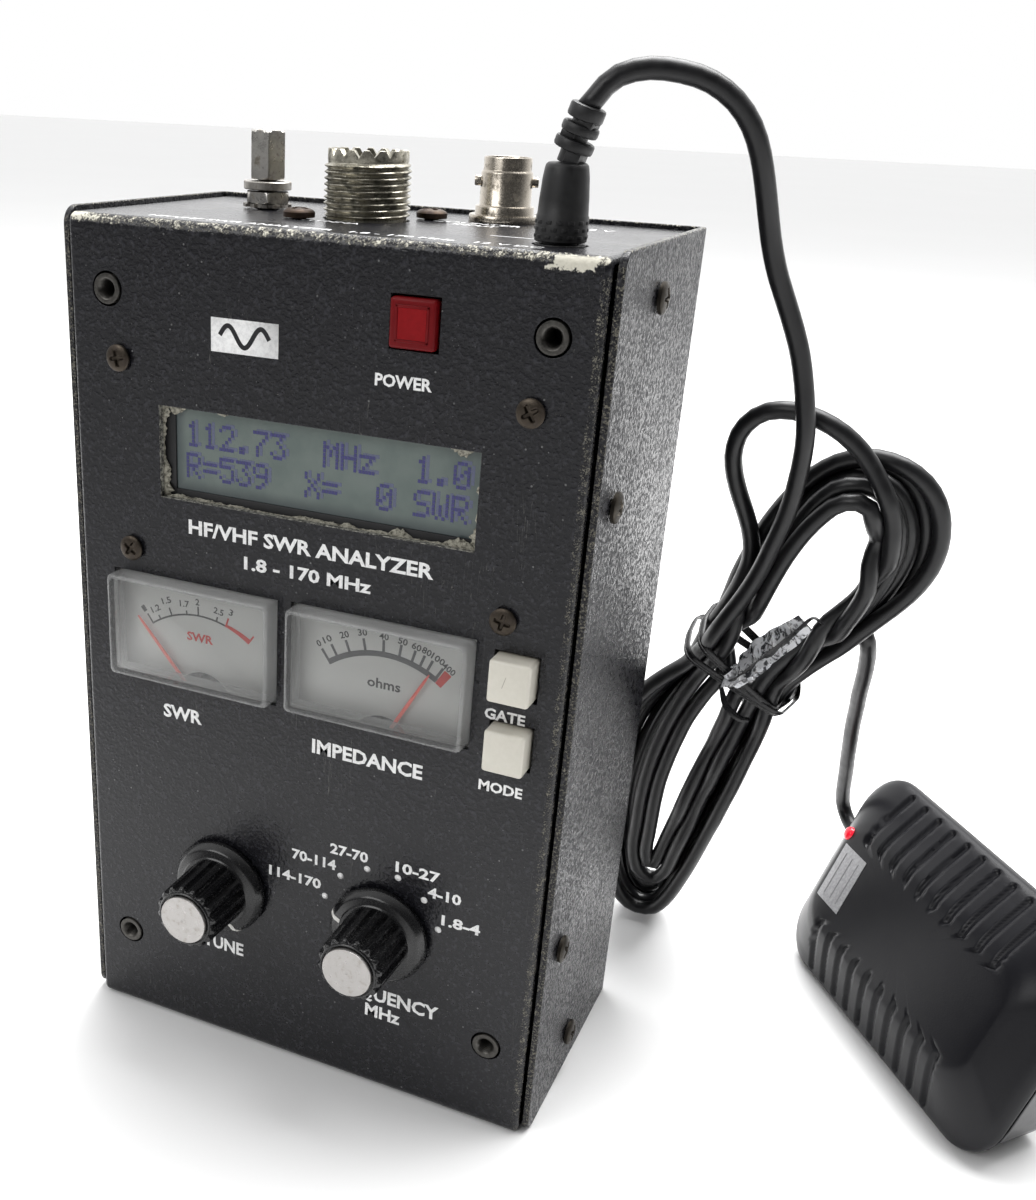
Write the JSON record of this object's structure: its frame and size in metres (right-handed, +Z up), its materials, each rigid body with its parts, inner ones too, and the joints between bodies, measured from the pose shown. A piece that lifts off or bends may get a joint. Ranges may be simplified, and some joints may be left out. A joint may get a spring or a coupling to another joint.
{
  "type": "handheld antenna analyzer",
  "caption": "Handheld HF/VHF antenna analyzer in a black metal case with a display, meters, knobs, push buttons, top connectors and a bundled supply lead with adapter.",
  "frame": {"origin": "centre of the flat bottom face of the case, which stands on the ground", "axes": "+Z up from the bottom face, +Y from the front panel to the back, +X to the right as seen from the front"},
  "size_m": [0.2088, 0.1304, 0.1976],
  "materials": {
    "case_paint": "pebbled semi-gloss black paint, worn through along the bends",
    "dark_steel": "blackened steel, lightly rusted",
    "display": "grey-green reflective display",
    "clear_cover": "clear moulded plastic",
    "dial_card": "satin grey-white dial",
    "needle_red": "red lacquer",
    "red_plastic": "gloss deep red",
    "white_plastic": "satin, slightly yellowed white",
    "black_plastic": "semi-gloss black",
    "aluminium": "spun aluminium",
    "circuit": "solder-masked laminate",
    "battery": "matte black",
    "nickel": "aged nickel plate",
    "insulator": "white insulator",
    "plated_steel": "zinc-plated steel",
    "cord_pvc": "smooth black PVC",
    "adapter_plastic": "fine-textured satin black",
    "brass_prongs": "nickel-plated brass"
  },
  "bodies": {
    "case": {"chassis": "case_paint", "rear_cover": "case_paint", "cover_screw_1": "dark_steel", "cover_screw_2": "dark_steel", "cover_screw_3": "dark_steel", "cover_screw_4": "dark_steel", "cover_screw_5": "dark_steel", "cover_screw_6": "dark_steel", "cover_screw_7": "dark_steel", "cover_screw_8": "dark_steel", "panel_screw_1": "dark_steel", "panel_screw_2": "dark_steel", "panel_screw_3": "dark_steel", "panel_screw_4": "dark_steel", "panel_standoff_1": "dark_steel", "panel_standoff_2": "dark_steel", "panel_standoff_3": "dark_steel", "panel_standoff_4": "dark_steel", "so239_screw_1": "dark_steel", "so239_screw_2": "dark_steel", "lcd_module": "display", "swr_meter_cover": "clear_cover", "impedance_meter_cover": "clear_cover", "swr_meter_body": "dial_card", "impedance_meter_body": "dial_card", "power_switch": "black_plastic", "key_switches": "black_plastic", "band_switch": "black_plastic", "dc_inlet": "black_plastic", "tuning_capacitor": "aluminium", "circuit_board": "circuit", "battery_holder_upper": "battery", "battery_holder_lower": "battery", "so239_shell": "nickel", "bnc_jack": "nickel", "so239_contact": "insulator", "bnc_insulator": "insulator", "ground_post": "plated_steel", "ground_nut": "plated_steel", "ground_washer": "plated_steel", "dc_plug": "cord_pvc", "strain_relief": "cord_pvc", "cord_lead": "cord_pvc", "cord_hank": "cord_pvc", "cord_tail": "cord_pvc", "adapter_front": "adapter_plastic", "adapter_base": "adapter_plastic", "adapter_prong_1": "brass_prongs", "adapter_prong_2": "brass_prongs"},
    "power_button": {"power_button": "red_plastic"},
    "gate_button": {"gate_button": "white_plastic"},
    "mode_button": {"mode_button": "white_plastic"},
    "tune_knob": {"tune_knob": "black_plastic", "tune_knob_disc": "aluminium"},
    "frequency_knob": {"frequency_knob": "black_plastic", "frequency_knob_disc": "aluminium"},
    "swr_needle": {"swr_needle": "needle_red"},
    "impedance_needle": {"impedance_needle": "needle_red"}
  },
  "joints": [
    {"name": "power_button_latch", "type": "slide", "parent": "case", "child": "power_button", "axis": [0, -1, 0], "range_m": [0, 0.0025]},
    {"name": "gate_button_press", "type": "slide", "parent": "case", "child": "gate_button", "axis": [0, 1, 0], "range_m": [0, 0.0015], "stiffness_N_per_m": 400, "springref_m": -0.0002},
    {"name": "mode_button_press", "type": "slide", "parent": "case", "child": "mode_button", "axis": [0, 1, 0], "range_m": [0, 0.0015], "stiffness_N_per_m": 400, "springref_m": -0.0002},
    {"name": "tune_knob_turn", "type": "hinge", "parent": "case", "child": "tune_knob", "pos_m": [-0.0182, -0.0285, 0.0386], "axis": [0, -1, 0], "range_deg": [0, 180]},
    {"name": "frequency_knob_turn", "type": "hinge", "parent": "case", "child": "frequency_knob", "pos_m": [0.0182, -0.0285, 0.0386], "axis": [0, -1, 0], "range_deg": [-150, 0]},
    {"name": "swr_needle_swing", "type": "hinge", "parent": "case", "child": "swr_needle", "pos_m": [-0.0247, -0.0264, 0.078], "axis": [0, -1, 0], "range_deg": [-84, 3], "stiffness_Nm_per_rad": 0.000005},
    {"name": "impedance_needle_swing", "type": "hinge", "parent": "case", "child": "impedance_needle", "pos_m": [0.0147, -0.0264, 0.078], "axis": [0, -1, 0], "range_deg": [-12, 71], "stiffness_Nm_per_rad": 0.000005}
  ]
}
